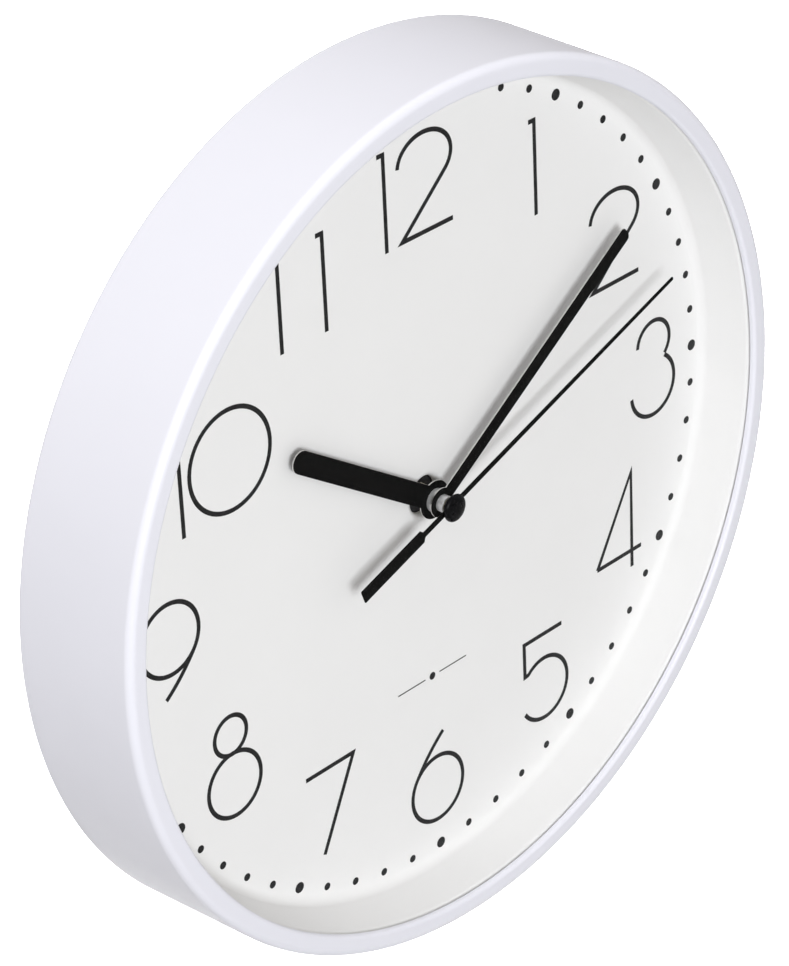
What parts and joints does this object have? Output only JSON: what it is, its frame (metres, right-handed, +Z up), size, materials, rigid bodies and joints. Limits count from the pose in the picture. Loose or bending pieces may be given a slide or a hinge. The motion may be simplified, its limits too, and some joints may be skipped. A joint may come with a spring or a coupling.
{
  "type": "round wall clock",
  "caption": "Round battery wall clock with a deep white case, clear lens, black hands on a geared quartz movement, and a hanger at the back.",
  "frame": {"origin": "on the dial's axis, at the centre of the movement's flat rear cover, in the plane of the case's rear rim, which is the wall", "axes": "+Z up, +X to the right as the dial is read, the dial faces -Y and +Y points into the wall"},
  "size_m": [0.22, 0.034, 0.22],
  "materials": {
    "white_satin": "satin white moulding",
    "white_matt": "matt white moulding",
    "clear": "clear and polished",
    "black_plastic": "fine grained black moulding",
    "black_lacquer": "thin sheet with black lacquer",
    "black_cap": "polished black moulding",
    "bright_brass": "nickel plated",
    "spring_brass": "bare sheet",
    "copper": "enamelled wire, close wound",
    "steel": "plated steel",
    "core_steel": "annealed sheet",
    "magnet": "sintered",
    "natural": "unpigmented moulding",
    "board": "lacquered laminate",
    "resin": "cast resin",
    "ink": "thin screen-printed film on the dial",
    "cell": "plain printed sleeve"
  },
  "bodies": {
    "clock": {"case_ring": "white_satin", "lens": "clear", "dial_pan": "white_matt", "movement_case": "black_plastic", "movement_cover": "black_plastic", "train_bridge": "natural", "cover_screw_1": "steel", "cover_screw_2": "steel", "cover_screw_3": "steel", "cover_screw_4": "steel", "stator_screw_1": "steel", "stator_screw_2": "steel", "stator": "core_steel", "coil_core": "core_steel", "coil_bobbin": "natural", "coil_winding": "copper", "circuit_board": "board", "quartz_crystal": "steel", "chip_cover": "resin", "contact_positive": "steel", "contact_negative": "steel"},
    "battery_cell": {"battery": "cell", "battery_terminal": "steel"},
    "rotor": {"rotor_shaft": "natural", "rotor_magnet": "magnet"},
    "intermediate": {"intermediate_wheel": "natural"},
    "seconds": {"second_wheel": "natural", "second_hand": "black_lacquer", "second_hand_socket": "bright_brass", "second_hand_cap": "black_cap"},
    "third": {"third_wheel": "natural"},
    "centre": {"centre_wheel": "natural", "clutch_spring": "spring_brass"},
    "minutes": {"minute_pipe": "natural", "minute_hand": "black_lacquer", "minute_hand_collet": "bright_brass"},
    "hours": {"hour_wheel": "natural", "hour_hand": "black_lacquer", "hour_hand_collet": "bright_brass"},
    "setting": {"minute_work_wheel": "natural", "setting_knob": "black_plastic"}
  },
  "joints": [
    {"name": "second_spin", "type": "hinge", "parent": "clock", "child": "seconds", "pos_m": [0, 0, 0], "axis": [0, 1, 0], "continuous": true},
    {"name": "third_spin", "type": "hinge", "parent": "clock", "child": "third", "pos_m": [0.00246, 0, 0.00918], "axis": [0, 1, 0], "continuous": true},
    {"name": "centre_spin", "type": "hinge", "parent": "clock", "child": "centre", "pos_m": [0, 0, 0], "axis": [0, 1, 0], "continuous": true},
    {"name": "intermediate_spin", "type": "hinge", "parent": "clock", "child": "intermediate", "pos_m": [-0.00956, 0, 0.00256], "axis": [0, 1, 0], "continuous": true},
    {"name": "rotor_spin", "type": "hinge", "parent": "clock", "child": "rotor", "pos_m": [-0.01358, 0, 0.0083], "axis": [0, 1, 0], "continuous": true},
    {"name": "minute_spin", "type": "hinge", "parent": "clock", "child": "minutes", "pos_m": [0, 0, 0], "axis": [0, 1, 0], "continuous": true},
    {"name": "hour_spin", "type": "hinge", "parent": "clock", "child": "hours", "pos_m": [0, 0, 0], "axis": [0, 1, 0], "continuous": true},
    {"name": "setting_spin", "type": "hinge", "parent": "clock", "child": "setting", "pos_m": [0.01, 0, 0], "axis": [0, 1, 0], "continuous": true},
    {"name": "battery_slide", "type": "slide", "parent": "clock", "child": "battery_cell", "axis": [0, 1, 0], "range_m": [0, 0.04]}
  ],
  "couplings": [
    {"joint": "third_spin", "follows": "second_spin", "ratio": -0.13333},
    {"joint": "centre_spin", "follows": "second_spin", "ratio": 0.016667},
    {"joint": "intermediate_spin", "follows": "second_spin", "ratio": -5},
    {"joint": "rotor_spin", "follows": "second_spin", "ratio": 30},
    {"joint": "hour_spin", "follows": "minute_spin", "ratio": 0.083333},
    {"joint": "setting_spin", "follows": "minute_spin", "ratio": -0.33333}
  ]
}
